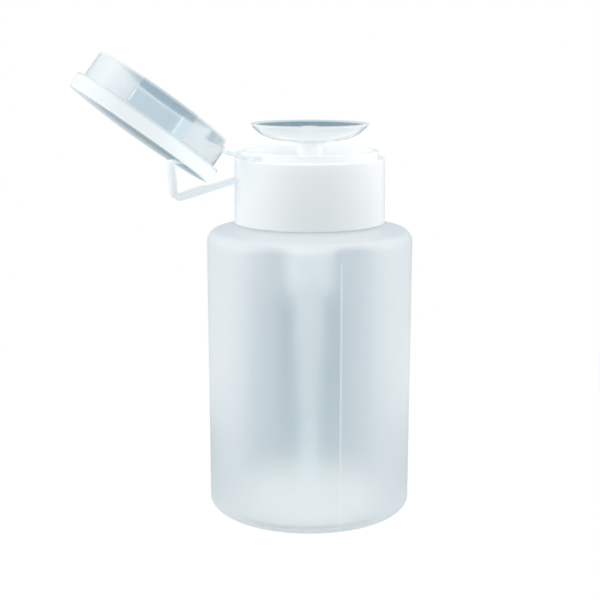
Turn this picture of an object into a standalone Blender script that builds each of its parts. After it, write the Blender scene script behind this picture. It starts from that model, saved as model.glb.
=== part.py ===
"""Press-down dispenser bottle with a flip-top lid.

A frosted cylindrical bottle carries a screw collar. A hollow plunger with a
round dish on top runs through the collar; pressing the dish pumps liquid up
into it. A shallow lid is hinged to the collar by two short straps, and an
L-shaped strap between them snaps it open or shut.

Origin: centre of the bottle's base. +Z up, the hinge on the -X side.
Sizes are in mm and scaled to metres as meshes are made. The lid is modelled
closed and then opened about the hinge line.
"""

import math

import bmesh
import bpy
from mathutils import Matrix, Vector

MM = 0.001
SHARP_ANGLE = 35.0             # degrees between faces that stay a crisp edge

# ---- driving dimensions (mm, degrees) -------------------------------------
BOTTLE_R = 28.0
BOTTLE_WALL = 1.0
BOTTLE_FLOOR = 1.3
BASE_CORNER = 2.2
BASE_INNER_CORNER = 1.6
BASE_INNER_CORNER_Z = 2.7      # height of that corner's centre
SHOULDER_START = 74.5
SHOULDER_ARC = 3.4
SHOULDER_SLOPE = 15.0
NECK_R = 15.7
NECK_BORE = 13.75
NECK_TOP = 92.0
NECK_EDGE = 0.3                # chamfer at the neck's mouth

THREAD_LEAD = 3.6
THREAD_TURNS = 1.5
THREAD_BEAD = 0.95
THREAD_START_Z = 83.6
THREAD_START_ANGLE = 20.0
THREAD_STEPS_PER_TURN = 20
THREAD_TIP_SCALE = 0.35        # bead size at each end
THREAD_TAPER_STEPS = 3.0       # steps over which it reaches full size

COLLAR_BOTTOM = 79.6
COLLAR_R_BOTTOM = 20.4
COLLAR_R_TOP = 20.2
COLLAR_EDGE = 0.25             # chamfer on the rim and the lower edge
LEDGE_Z = 97.0
LEDGE_EDGE = 0.35
RING_TOP = 99.0
RING_R = 18.5
WELL_R = 17.3
WELL_FLOOR = 95.6
WELL_CORNER = 0.6
DECK_UNDERSIDE = 94.4
DECK_HOLE_R = 7.0

HINGE_BLOCK_TOP = 98.5
HINGE_BLOCK_BOTTOM = 96.2
HINGE_BLOCK_OUTER_R = 20.08
HINGE_BLOCK_INNER_R = 17.9
HINGE_BLOCK_HALF_WIDTH = 9.4

HINGE = (-22.09, 98.68)        # (x, z) of the lid's hinge line
LID_OPEN = 143.44
LID_MOUTH = LEDGE_Z + 0.15
LID_R = 19.93
LID_BORE = 19.0
LID_EDGE = 0.2                 # chamfer around the mouth, outside
LID_INNER_CORNER = 0.8
FLANGE_R = 21.61
SKIRT_H = 7.47
FLANGE_H = 4.2
LID_TOP_WALL = 1.2

SNAP_WIDTH = 5.4
SNAP_OUTER = 0.85              # thickness to either side of the pivot lines
SNAP_INNER = 0.7
SNAP_ROOT = (-20.7, 91.8)      # (x, z) of the flex line on the collar wall
SNAP_ELBOW = (-37.0, 87.3)     # corner of the L, lid open
SNAP_TIP = (-37.72, 96.97)     # flex line on the lid's top, lid open

TAB_NEAR_Y, TAB_FAR_Y = 3.4, 7.3
TAB_START = 0.25               # fraction of the way from hinge to anchor
TAB_THIN, TAB_THICK = 0.26, 0.72
COLLAR_ANCHOR = (-20.1, 98.0)
LID_ANCHOR = (-LID_R, LID_MOUTH + 2.3)     # lid closed

DISH_R = 16.06
DISH_RIM = 106.15
DISH_BOTTOM = 101.7
DISH_FLAT_R = 7.5
DISH_WALL = 0.9
STEM_R = 3.3

PORT_REACH = 4.0
PORT_HALF_WIDTH = 0.5
PORT_BOTTOM, PORT_TOP = 103.4, 104.3

PUMP_FLANGE_R = 16.6
PUMP_FLANGE_BOTTOM, PUMP_TOP = 93.1, 94.1
PUMP_R = 6.3
PUMP_BORE = 5.1
PUMP_STEP = 59.6
PUMP_STEP_EDGE = 0.6
PUMP_LOWER_R = 3.95
PUMP_LOWER_BORE = 2.95
PUMP_LOWER_END = 41.5
SOCKET_R, SOCKET_BORE = 3.15, 2.6
SOCKET_END = 27.7
TUBE_R, TUBE_BORE = 2.4, 1.7
TUBE_TOP = 40.3
TUBE_END = 3.6
HEEL_RISE = 1.4                # the slanting cut meets the tube's axis here
HEEL_ANGLE = 28.0

SPRING_R = 4.1
SPRING_WIRE = 0.38
SPRING_TURNS = 7
SPRING_STEPS_PER_TURN = 11
SPRING_LOW, SPRING_HIGH = 61.75, 82.7
SPRING_END_SQUEEZE = 0.055     # draws the end turns closer together

# ---- scene ----------------------------------------------------------------
for old in list(bpy.data.objects):
    bpy.data.objects.remove(old, do_unlink=True)


def collection(name):
    made = bpy.data.collections.new(name)
    bpy.context.scene.collection.children.link(made)
    return made


PARTS = collection("push_top_dispenser")
CUTTERS = collection("push_top_dispenser_cutters")


# ---- materials ------------------------------------------------------------
def material(name, colour, roughness, metallic=0.0, alpha=1.0, transmission=0.0):
    made = bpy.data.materials.new(name)
    made.use_nodes = True
    shader = made.node_tree.nodes["Principled BSDF"]
    shader.inputs["Base Color"].default_value = (*colour, 1.0)
    shader.inputs["Roughness"].default_value = roughness
    shader.inputs["Metallic"].default_value = metallic
    shader.inputs["Alpha"].default_value = alpha
    shader.inputs["Transmission Weight"].default_value = transmission
    return made


FROSTED = material("frosted_polyethylene", colour=(0.80, 0.85, 0.88),
                   roughness=0.45, alpha=0.75, transmission=0.6)
WHITE = material("white_polypropylene", colour=(0.90, 0.91, 0.91), roughness=0.22)
NATURAL = material("natural_polypropylene", colour=(0.78, 0.84, 0.87),
                   roughness=0.20, alpha=0.8, transmission=0.5)
CLEAR = material("clear_dish_plastic", colour=(0.70, 0.78, 0.84),
                 roughness=0.10, alpha=0.6, transmission=0.7)
STRAP = material("strap_polypropylene", colour=(0.82, 0.86, 0.90), roughness=0.25)
STEM_WHITE = material("stem_white_plastic", colour=(0.92, 0.93, 0.93),
                      roughness=0.30)
PUMP_PLASTIC = material("pump_body_plastic", colour=(0.88, 0.90, 0.91),
                        roughness=0.35)
SEAL = material("white_seal_rubber", colour=(0.80, 0.80, 0.78), roughness=0.60)
STEEL = material("spring_steel", colour=(0.62, 0.62, 0.63),
                 roughness=0.28, metallic=1.0)
GLASS = material("valve_ball_glass", colour=(0.85, 0.90, 0.92),
                 roughness=0.05, alpha=0.5, transmission=0.9)
TUBE_PLASTIC = material("tube_polyethylene", colour=(0.86, 0.89, 0.90),
                        roughness=0.40, alpha=0.7)


# ---- objects and solids ---------------------------------------------------
def adopt(name, data, mat=None):
    """Make an object: a part if it has a material, otherwise a cutter."""
    obj = bpy.data.objects.new(name, data)
    if mat is None:
        CUTTERS.objects.link(obj)
        obj.hide_render = True
        obj.display_type = "WIRE"
    else:
        PARTS.objects.link(obj)
        data.materials.append(mat)
    return obj


def finish(bm, name):
    """Turn a bmesh into a new mesh and free it."""
    mesh = bpy.data.meshes.new(name)
    bm.to_mesh(mesh)
    bm.free()
    return mesh


def turned(name, profile, steps, mat=None, closed=True):
    """A turned solid from a (radius, height) profile.

    An open profile begins and ends on the axis.
    """
    mesh = bpy.data.meshes.new(name)
    points = [(r * MM, 0.0, z * MM) for r, z in profile]
    edges = [(i, i + 1) for i in range(len(points) - 1)]
    if closed:
        edges.append((len(points) - 1, 0))
    mesh.from_pydata(points, edges, [])
    obj = adopt(name, mesh, mat)
    screw = obj.modifiers.new("turn", "SCREW")
    screw.axis = "Z"
    screw.steps = steps
    screw.render_steps = steps
    screw.use_merge_vertices = True
    screw.merge_threshold = 0.00001
    screw.use_smooth_shade = True
    return obj


def box(name, low, high):
    """A cutter box between two opposite corners."""
    bm = bmesh.new()
    bmesh.ops.create_cube(bm, size=1.0)
    size = [(b - a) * MM for a, b in zip(low, high)]
    centre = [(a + b) / 2 * MM for a, b in zip(low, high)]
    bmesh.ops.scale(bm, vec=size, verts=bm.verts)
    bmesh.ops.translate(bm, vec=centre, verts=bm.verts)
    return adopt(name, finish(bm, name))


def ball(name, radius, height):
    bm = bmesh.new()
    bmesh.ops.create_uvsphere(bm, u_segments=14, v_segments=8, radius=radius * MM)
    obj = adopt(name, finish(bm, name), GLASS)
    obj.location = (0.0, 0.0, height * MM)


def boolean(obj, other, operation):
    mod = obj.modifiers.new(operation.lower(), "BOOLEAN")
    mod.operation = operation
    mod.object = other
    mod.solver = "EXACT"


# ---- curves ---------------------------------------------------------------
def arc(centre_r, centre_z, radius, start, end, count):
    """Points of a circular arc in the profile plane, angles in degrees."""
    points = []
    for i in range(count + 1):
        angle = math.radians(start + (end - start) * i / count)
        points.append((centre_r + radius * math.cos(angle),
                       centre_z + radius * math.sin(angle)))
    return points


def add_line(curve, points):
    line = curve.splines.new("POLY")
    line.points.add(len(points) - 1)
    for point, (x, y, z) in zip(line.points, points):
        point.co = (x * MM, y * MM, z * MM, 1.0)
    return line


def wire_curve(name, points, radius, resolution):
    """A round wire along a line of points."""
    curve = bpy.data.curves.new(name, "CURVE")
    curve.dimensions = "3D"
    curve.bevel_depth = radius * MM
    curve.bevel_resolution = resolution
    curve.use_fill_caps = True
    add_line(curve, points)
    return curve


def curve_mesh(curve, weld, placement=Matrix.Identity(4)):
    """The curve as a welded mesh; weld is a distance in metres."""
    source = bpy.data.objects.new(curve.name + "_path", curve)
    CUTTERS.objects.link(source)
    graph = bpy.context.evaluated_depsgraph_get()
    mesh = bpy.data.meshes.new_from_object(source.evaluated_get(graph))
    bm = bmesh.new()
    bm.from_mesh(mesh)
    bmesh.ops.remove_doubles(bm, verts=bm.verts, dist=weld)
    bmesh.ops.transform(bm, matrix=placement, verts=bm.verts)
    bmesh.ops.recalc_face_normals(bm, faces=bm.faces)
    bm.to_mesh(mesh)
    bm.free()
    bpy.data.objects.remove(source, do_unlink=True)
    return mesh


def thread_bead(name, radius, start_z):
    """A round thread bead along a right-hand helix, tapered at both ends."""
    count = int(THREAD_TURNS * THREAD_STEPS_PER_TURN)
    points = []
    for i in range(count + 1):
        angle = (math.radians(THREAD_START_ANGLE)
                 + 2 * math.pi * i / THREAD_STEPS_PER_TURN)
        points.append((radius * math.cos(angle), radius * math.sin(angle),
                       start_z + THREAD_LEAD * i / THREAD_STEPS_PER_TURN))
    curve = wire_curve(name, points, THREAD_BEAD, resolution=1)
    for i, point in enumerate(curve.splines[0].points):
        steps_in = min(i, count - i)
        point.radius = min(1.0, THREAD_TIP_SCALE
                           + (1.0 - THREAD_TIP_SCALE) * steps_in / THREAD_TAPER_STEPS)
    return adopt(name, curve_mesh(curve, weld=0.00001))


def slab(name, outline, y0, y1):
    """A strap: an (x, z) outline given thickness from y0 to y1."""
    curve = bpy.data.curves.new(name, "CURVE")
    curve.dimensions = "2D"
    curve.fill_mode = "BOTH"
    curve.extrude = abs(y1 - y0) / 2 * MM
    line = add_line(curve, [(x, z, 0.0) for x, z in outline])
    line.use_cyclic_u = True
    stand = (Matrix.Translation((0, (y0 + y1) / 2 * MM, 0))
             @ Matrix.Rotation(math.radians(90), 4, "X"))
    return adopt(name, curve_mesh(curve, weld=0.000005, placement=stand), STRAP)


def beside(start, end, fraction, offset):
    """A point part-way from start to end, moved sideways by offset.

    A positive offset is towards the direction of travel turned from +X to +Z.
    """
    dx, dz = end[0] - start[0], end[1] - start[1]
    length = math.hypot(dx, dz)
    return (start[0] + dx * fraction - dz / length * offset,
            start[1] + dz * fraction + dx / length * offset)


def at(point):
    """An (x, z) point in mm as a position in metres on the plane y = 0."""
    return Vector((point[0] * MM, 0.0, point[1] * MM))


def recentre(obj, point):
    """Move the mesh so that the object's origin stands for the point (x, z)."""
    obj.data.transform(Matrix.Translation(-at(point)))


# ---- bottle ---------------------------------------------------------------
def up_slope(radius, corner_point):
    """The point at a radius on the shoulder's slope above its corner."""
    corner_r, corner_z = corner_point
    rise = (corner_r - radius) * math.tan(math.radians(SHOULDER_SLOPE))
    return (radius, corner_z + rise)


def bottle_profile():
    """Up the inside from the floor's centre, then down the outside."""
    inner_r = BOTTLE_R - BOTTLE_WALL
    inner_arc = SHOULDER_ARC - BOTTLE_WALL
    slope_end = 90.0 - SHOULDER_SLOPE

    inside = [(0.0, BOTTLE_FLOOR), (12.0, BOTTLE_FLOOR), (20.8, BOTTLE_FLOOR),
              (24.2, 1.33)]
    inside += arc(inner_r - BASE_INNER_CORNER, BASE_INNER_CORNER_Z,
                  BASE_INNER_CORNER, -60.0, 0.0, 3)
    inside += arc(inner_r - inner_arc, SHOULDER_START, inner_arc, 0.0, slope_end, 4)
    inside += [up_slope(15.6, inside[-1]), (14.1, 79.4), (NECK_BORE, 80.4),
               (NECK_BORE, NECK_TOP - NECK_EDGE)]

    corner = arc(BOTTLE_R - SHOULDER_ARC, SHOULDER_START, SHOULDER_ARC,
                 slope_end, 0.0, 5)
    outside = [(NECK_BORE + NECK_EDGE, NECK_TOP), (NECK_R - NECK_EDGE, NECK_TOP),
               (NECK_R, NECK_TOP - NECK_EDGE), (NECK_R, 80.6), (16.1, 79.95),
               up_slope(17.2, corner[0])]
    outside += corner
    outside += arc(BOTTLE_R - BASE_CORNER, BASE_CORNER, BASE_CORNER, 0.0, -90.0, 4)
    outside += [(22.6, 0.0), (12.0, 0.0), (0.0, 0.0)]
    return inside + outside


bottle = turned("bottle", bottle_profile(), 40, FROSTED, closed=False)
boolean(bottle, thread_bead("neck_thread", NECK_R + 0.1, THREAD_START_Z), "UNION")

# ---- screw collar ---------------------------------------------------------
COLLAR_PROFILE = [             # (radius, height)
    # rim, ledge and outer wall
    (RING_R - COLLAR_EDGE, RING_TOP), (RING_R, RING_TOP - COLLAR_EDGE),
    (RING_R, LEDGE_Z),
    (COLLAR_R_TOP - LEDGE_EDGE, LEDGE_Z), (COLLAR_R_TOP, LEDGE_Z - LEDGE_EDGE),
    (COLLAR_R_BOTTOM, COLLAR_BOTTOM + COLLAR_EDGE),
    (COLLAR_R_BOTTOM - COLLAR_EDGE, COLLAR_BOTTOM),
    (COLLAR_R_BOTTOM - 1.1, COLLAR_BOTTOM),
    # narrow gap between the outer and the threaded wall
    (19.1, COLLAR_BOTTOM + 0.4), (19.0, 95.7), (18.55, 95.7), (18.45, 81.0),
    # threaded wall with a small rib near its top
    (WELL_R + 0.2, 80.7), (WELL_R, 81.1), (WELL_R, 92.2), (16.3, 92.4),
    (16.3, 92.7), (WELL_R, 93.0), (WELL_R, DECK_UNDERSIDE),
    # deck around the central hole, then the well above it
    (DECK_HOLE_R, DECK_UNDERSIDE), (DECK_HOLE_R, WELL_FLOOR),
    (WELL_R - WELL_CORNER, WELL_FLOOR), (WELL_R, WELL_FLOOR + WELL_CORNER),
    (WELL_R, RING_TOP - COLLAR_EDGE), (WELL_R + COLLAR_EDGE, RING_TOP),
]
collar = turned("screw_collar", COLLAR_PROFILE, 40, WHITE)
boolean(collar, thread_bead("collar_thread", WELL_R + 0.05,
                            THREAD_START_Z - THREAD_LEAD / 2), "UNION")

# The hinge block is the -X piece of a ring that stands on the ledge.
block = turned("hinge_block_ring",
               [(HINGE_BLOCK_OUTER_R, HINGE_BLOCK_TOP),
                (HINGE_BLOCK_OUTER_R, HINGE_BLOCK_BOTTOM),
                (HINGE_BLOCK_INNER_R, HINGE_BLOCK_BOTTOM),
                (HINGE_BLOCK_INNER_R, HINGE_BLOCK_TOP)], 40)
block_zone = box("hinge_block_zone", (-21.5, -HINGE_BLOCK_HALF_WIDTH, 95.0),
                 (-14.0, HINGE_BLOCK_HALF_WIDTH, 100.0))
boolean(block, block_zone, "INTERSECT")
boolean(collar, block, "UNION")


# ---- flip lid -------------------------------------------------------------
def lid_profile():
    """Down the outside from the crown's centre, then up the inside."""
    step = LID_MOUTH + SKIRT_H
    top = step + FLANGE_H
    ceiling = top - LID_TOP_WALL
    crown = [(0.0, top + 0.35), (7.0, top + 0.31), (13.0, top + 0.2),
             (18.0, top + 0.05)]
    flange = [(FLANGE_R - 0.9, top - 0.05), (FLANGE_R - 0.25, top - 0.3),
              (FLANGE_R, top - 0.9), (FLANGE_R, step + 0.3),
              (FLANGE_R - 0.3, step)]
    skirt = [(LID_R, step), (LID_R, LID_MOUTH + LID_EDGE),
             (LID_R - LID_EDGE, LID_MOUTH), (LID_BORE + 0.15, LID_MOUTH)]
    inside = [(LID_BORE, LID_MOUTH + 0.2), (LID_BORE, ceiling - LID_INNER_CORNER),
              (LID_BORE - LID_INNER_CORNER, ceiling),
              (10.0, ceiling + 0.1), (0.0, ceiling + 0.2)]
    return crown + flange + skirt + inside


lid_axis = bpy.data.objects.new("lid_hinge_axis", None)
PARTS.objects.link(lid_axis)
lid_axis.location = at(HINGE)

lid = turned("flip_lid", lid_profile(), 48, NATURAL, closed=False)
lid.parent = lid_axis
lid.location = -at(HINGE)

SLOT_Y = SNAP_WIDTH / 2 + 0.2  # half-width of the slots for the snap strap
CUT_OUTER_X = -24.0            # clear of the flange
CUT_INNER_X = -19.45           # part-way through the skirt's wall
LID_CUTS = [                   # name, low corner, high corner; lid closed
    ("strap_notch", (CUT_OUTER_X, -SLOT_Y, 100.9), (CUT_INNER_X, SLOT_Y, 111.0)),
    ("strap_channel", (CUT_OUTER_X, -SLOT_Y, 108.0), (-9.4, SLOT_Y, 112.0)),
    ("hinge_cutout", (CUT_OUTER_X, -10.0, 95.0), (-14.0, 10.0, LID_MOUTH + 1.65)),
    ("arm_slot", (CUT_OUTER_X, -SLOT_Y, 95.5), (CUT_INNER_X, SLOT_Y, 101.5)),
]
for cut_name, low_corner, high_corner in LID_CUTS:
    cutter = box(cut_name, low_corner, high_corner)
    boolean(lid, cutter, "DIFFERENCE")
    cutter.parent = lid_axis
    cutter.location = -at(HINGE)


# ---- hinge straps ---------------------------------------------------------
def strap_tabs(prefix, anchor, reach):
    """Two tabs, left at -Y and right at +Y, thickening away from the hinge."""
    outline = [beside(HINGE, anchor, fraction, offset) for fraction, offset in (
        (TAB_START, TAB_THIN / 2), (TAB_START, -TAB_THIN / 2),
        (reach, -TAB_THICK / 2), (reach, TAB_THICK / 2))]
    return [slab(prefix + side, outline, sign * TAB_NEAR_Y, sign * TAB_FAR_Y)
            for side, sign in (("left", -1.0), ("right", 1.0))]


strap_tabs("hinge_tab_", COLLAR_ANCHOR, reach=0.80)
for tab in strap_tabs("lid_tab_", LID_ANCHOR, reach=0.86):
    recentre(tab, HINGE)
    tab.parent = lid_axis

# Everything on the axis swings up and over towards -X.
lid_axis.rotation_euler = (0.0, -math.radians(LID_OPEN), 0.0)


# ---- snap strap, modelled with the lid open -------------------------------
def arm_outline():
    """The long arm, from the collar wall to the round end at the elbow."""
    def edge(stations):
        return [beside(SNAP_ROOT, SNAP_ELBOW, fraction, offset)
                for fraction, offset in stations]

    end_r = (SNAP_OUTER + SNAP_INNER) / 2
    end_x, end_z = beside(SNAP_ROOT, SNAP_ELBOW, 1.0, (SNAP_OUTER - SNAP_INNER) / 2)
    travel = math.degrees(math.atan2(SNAP_ELBOW[1] - SNAP_ROOT[1],
                                     SNAP_ELBOW[0] - SNAP_ROOT[0]))
    # Stations are (fraction from root to elbow, offset).
    underside = edge([(0.012, 0.28), (0.07, SNAP_OUTER)])
    round_end = arc(end_x, end_z, end_r, travel + 90.0, travel - 90.0, 6)
    # the face that lies along the collar once the lid is shut is kept thinner
    upper_side = edge([(0.50, -SNAP_INNER), (0.43, -0.27), (0.012, -0.27)])
    return underside + round_end + upper_side


def leg_outline():
    """The short leg, from the lid's top to just short of the elbow."""
    # fraction from tip to elbow, half-thickness at +X (inner), at -X (outer)
    stations = [(0.035, 0.3, 0.3), (0.12, 0.5, 0.8), (0.88, 0.55, 0.8)]
    inner = [beside(SNAP_TIP, SNAP_ELBOW, s, inside) for s, inside, _ in stations]
    outer = [beside(SNAP_TIP, SNAP_ELBOW, s, -outside) for s, _, outside in stations]
    return inner + outer[::-1]


for strap_name, strap_outline, flex_line in (
        ("snap_strap_long", arm_outline(), SNAP_ROOT),
        ("snap_strap_short", leg_outline(), SNAP_TIP)):
    strap = slab(strap_name, strap_outline, -SNAP_WIDTH / 2, SNAP_WIDTH / 2)
    recentre(strap, flex_line)
    strap.location = at(flex_line)


# ---- plunger: dish, outlet post, stem, piston, spring cup -----------------
def dish_profile():
    """A flat-bottomed dish with a curved wall and a short hub underneath."""
    rise = DISH_RIM - DISH_BOTTOM
    run = DISH_R - DISH_FLAT_R
    outer_arc = (run * run + rise * rise) / (2 * rise)
    inner_arc = outer_arc - DISH_WALL
    centre_z = DISH_BOTTOM + outer_arc
    outer_sweep = math.degrees(math.asin(run / outer_arc))
    inner_sweep = math.degrees(math.acos((outer_arc - rise) / inner_arc))
    outer = arc(DISH_FLAT_R, centre_z, outer_arc, -90.0 + outer_sweep, -90.0, 5)
    hub = [(3.95, DISH_BOTTOM), (3.95, 100.7), (3.5, 100.7), (3.5, 101.9),
           (2.2, 101.9), (2.2, DISH_BOTTOM + DISH_WALL)]
    inner = arc(DISH_FLAT_R, centre_z, inner_arc, -90.0, -90.0 + inner_sweep, 5)
    return outer + hub + inner


turned("dish", dish_profile(), 36, CLEAR)

# Every profile from here on is a table of (radius, height).
POST_PROFILE = [
    (0.0, 105.4), (2.3, 105.4), (2.8, 104.9), (2.8, 102.75), (2.25, 102.75),
    (2.1, 103.0), (2.1, 104.7), (1.8, 104.95), (0.0, 104.95),
]
post = turned("outlet_post", POST_PROFILE, 20, STEM_WHITE, closed=False)
for port_name, half_x, half_y in (("outlet_port_a", PORT_REACH, PORT_HALF_WIDTH),
                                  ("outlet_port_b", PORT_HALF_WIDTH, PORT_REACH)):
    port = box(port_name, (-half_x, -half_y, PORT_BOTTOM), (half_x, half_y, PORT_TOP))
    boolean(post, port, "DIFFERENCE")

STEM_PROFILE = [
    (1.6, 102.9), (1.95, 102.6), (1.95, 101.7), (STEM_R, 101.7), (STEM_R, 84.6),
    (1.75, 84.6), (1.75, 101.0), (0.7, 101.8), (0.7, 102.7), (0.85, 102.9),
]
turned("stem", STEM_PROFILE, 24, STEM_WHITE)

PISTON_PROFILE = [
    (4.95, 90.1), (4.95, 89.3), (4.45, 88.6), (4.45, 86.7), (4.95, 86.0),
    (4.95, 85.2), (4.5, 85.2), (4.3, 86.2), (3.45, 86.4), (3.45, 90.0),
    (4.4, 89.2),
]
turned("piston", PISTON_PROFILE, 24, SEAL)

CUP_PROFILE = [
    (1.3, 88.0), (1.55, 87.7), (1.55, 84.3), (4.55, 84.3), (4.65, 84.1),
    (4.65, 83.4), (1.0, 83.4), (1.0, 88.0),
]
turned("spring_cup", CUP_PROFILE, 20, STEM_WHITE)

# ---- pump engine: housing, guide, gasket, retainer, dip tube --------------
HOUSING_PROFILE = [
    # flange, wide barrel, narrow barrel and tube socket, downwards
    (PUMP_FLANGE_R, PUMP_TOP), (PUMP_FLANGE_R, PUMP_FLANGE_BOTTOM),
    (PUMP_R, PUMP_FLANGE_BOTTOM), (PUMP_R, PUMP_STEP + PUMP_STEP_EDGE),
    (PUMP_R - PUMP_STEP_EDGE, PUMP_STEP), (PUMP_LOWER_R, PUMP_STEP),
    (PUMP_LOWER_R, PUMP_LOWER_END + 0.4), (SOCKET_R, PUMP_LOWER_END),
    (SOCKET_R, SOCKET_END),
    # bore, upwards, past the seat between socket and barrel
    (SOCKET_BORE, SOCKET_END), (SOCKET_BORE, 40.6), (1.4, 40.6), (1.4, 41.6),
    (PUMP_LOWER_BORE, 43.2), (PUMP_LOWER_BORE, 60.9), (PUMP_BORE, 60.9),
    (PUMP_BORE, PUMP_TOP),
]
turned("pump_housing", HOUSING_PROFILE, 28, PUMP_PLASTIC)

GUIDE_PROFILE = [
    (6.45, 95.4), (6.7, 95.15), (6.7, 94.45), (4.9, 94.45), (4.9, 90.5),
    (3.6, 90.5), (3.52, 90.8), (3.52, 95.4),
]
turned("stem_guide", GUIDE_PROFILE, 24, WHITE)

GASKET_PROFILE = [
    (15.5, 92.95), (15.6, 92.85), (15.6, 92.3), (15.5, 92.2), (14.0, 92.2),
    (13.9, 92.3), (13.9, 92.85), (14.0, 92.95),
]
turned("neck_gasket", GASKET_PROFILE, 28, SEAL)

RETAINER_PROFILE = [
    (2.6, 48.2), (2.8, 48.0), (2.8, 46.7), (2.7, 46.6), (1.3, 46.6), (1.3, 48.2),
]
retainer = turned("ball_retainer", RETAINER_PROFILE, 16, PUMP_PLASTIC)
retainer_slot = box("retainer_slot_a", (-2.3, -0.6, 46.0), (2.3, 0.6, 47.4))
boolean(retainer, retainer_slot, "DIFFERENCE")

TUBE_PROFILE = [
    (TUBE_R, TUBE_TOP), (TUBE_R, TUBE_END), (TUBE_BORE, TUBE_END),
    (TUBE_BORE, TUBE_TOP),
]
tube = turned("dip_tube", TUBE_PROFILE, 20, TUBE_PLASTIC)
# A tilted box cuts the tube's lower end on a slant.
heel = box("tube_heel", (-6.0, -6.0, -9.0), (6.0, 6.0, 0.0))
heel.location = (0.0, 0.0, (TUBE_END + HEEL_RISE) * MM)
heel.rotation_euler = (math.radians(HEEL_ANGLE), 0.0, 0.0)
boolean(tube, heel, "DIFFERENCE")


# ---- return spring --------------------------------------------------------
def spring_points():
    count = SPRING_TURNS * SPRING_STEPS_PER_TURN
    points = []
    for i in range(count + 1):
        angle = 2 * math.pi * i / SPRING_STEPS_PER_TURN
        along = i / count
        climb = along - SPRING_END_SQUEEZE * math.sin(2 * math.pi * along)
        points.append((SPRING_R * math.cos(angle), SPRING_R * math.sin(angle),
                       SPRING_LOW + (SPRING_HIGH - SPRING_LOW) * climb))
    return points


adopt("return_spring",
      wire_curve("return_spring", spring_points(), SPRING_WIRE, resolution=2), STEEL)

# ---- valve balls ----------------------------------------------------------
ball("inlet_ball", radius=2.0, height=43.25)
ball("outlet_ball", radius=0.95, height=103.62)

# ---- shading --------------------------------------------------------------
for obj in PARTS.objects:
    if obj.type == "MESH":
        obj.data.shade_smooth()
        obj.data.set_sharp_from_angle(angle=math.radians(SHARP_ANGLE))
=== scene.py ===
"""Looks of a press-down dispenser bottle with its flip lid open.

The bottle stands on z = 0 with its axis on Z. The lid's hinge is on the -X side and
the camera looks from -Y. Sizes are in millimetres, and MM turns them into metres;
materials, lights and the camera work in metres.
"""

import math

import bmesh
import bpy
from mathutils import Matrix, Vector

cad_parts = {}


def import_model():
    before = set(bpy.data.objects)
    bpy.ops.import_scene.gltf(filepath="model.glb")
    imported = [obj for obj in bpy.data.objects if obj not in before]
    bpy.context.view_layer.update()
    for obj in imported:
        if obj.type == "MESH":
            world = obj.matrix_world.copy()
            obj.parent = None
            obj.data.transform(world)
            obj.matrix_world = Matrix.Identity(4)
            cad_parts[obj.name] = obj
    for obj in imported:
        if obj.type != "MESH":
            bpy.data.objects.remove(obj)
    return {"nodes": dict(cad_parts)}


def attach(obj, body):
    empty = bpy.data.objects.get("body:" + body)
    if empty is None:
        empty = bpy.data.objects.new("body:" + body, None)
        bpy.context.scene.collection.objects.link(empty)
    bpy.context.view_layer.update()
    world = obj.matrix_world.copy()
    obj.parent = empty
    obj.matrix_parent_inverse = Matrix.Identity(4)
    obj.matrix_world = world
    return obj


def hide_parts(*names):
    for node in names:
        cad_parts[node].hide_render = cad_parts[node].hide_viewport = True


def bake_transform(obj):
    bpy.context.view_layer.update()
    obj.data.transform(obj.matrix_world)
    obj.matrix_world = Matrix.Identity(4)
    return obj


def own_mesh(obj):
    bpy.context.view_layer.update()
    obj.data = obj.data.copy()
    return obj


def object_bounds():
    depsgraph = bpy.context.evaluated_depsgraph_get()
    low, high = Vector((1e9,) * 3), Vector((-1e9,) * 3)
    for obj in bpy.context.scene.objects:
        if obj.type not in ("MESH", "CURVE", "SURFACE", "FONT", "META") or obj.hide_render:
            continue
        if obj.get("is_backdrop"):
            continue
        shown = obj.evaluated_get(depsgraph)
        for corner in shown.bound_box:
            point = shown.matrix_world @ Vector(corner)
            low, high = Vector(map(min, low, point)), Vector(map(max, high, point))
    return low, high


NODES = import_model()["nodes"]
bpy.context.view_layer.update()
MM = 0.001

# ---------------------------------------------------------------- dimensions
HINGE_X, HINGE_Z = -22.09, 98.68
OPEN = 143.44                    # degrees the lid is swung open
# the lid, with heights as it lies when shut
MOUTH = 97.15                    # lower edge of the skirt
LID_R, LID_BORE, FLANGE_R = 19.93, 19.0, 21.57
SKIRT_H, FLANGE_H, LID_WALL = 7.47, 4.2, 1.2
STEP = MOUTH + SKIRT_H           # where the skirt meets the flange
TOP = STEP + FLANGE_H
PANEL_TURN, PANEL_HALF = 6.5, 7.95   # degrees about Z, half width
# the bent snap strap, as (x, z)
ROOT = (-20.7, 91.8)
ELBOW = (-37.0, 87.3)
TIP = (-37.72, 96.97)
# the camera's turn about Z, and its level directions to the right and away
YAW = math.radians(16.49)
RIGHT = Vector((math.cos(YAW), -math.sin(YAW), 0.0))
AWAY = Vector((math.sin(YAW), math.cos(YAW), 0.0))

# light the floor gives back: below the bottle, around it, farther out, to the sides
FLOOR_NEAR = (1.30, 1.24, 1.18)
FLOOR_MID = (0.27, 0.38, 0.45)
FLOOR_FAR = (0.22, 0.33, 0.40)
FLOOR_SIDE = (1.05, 1.07, 1.08)


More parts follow.
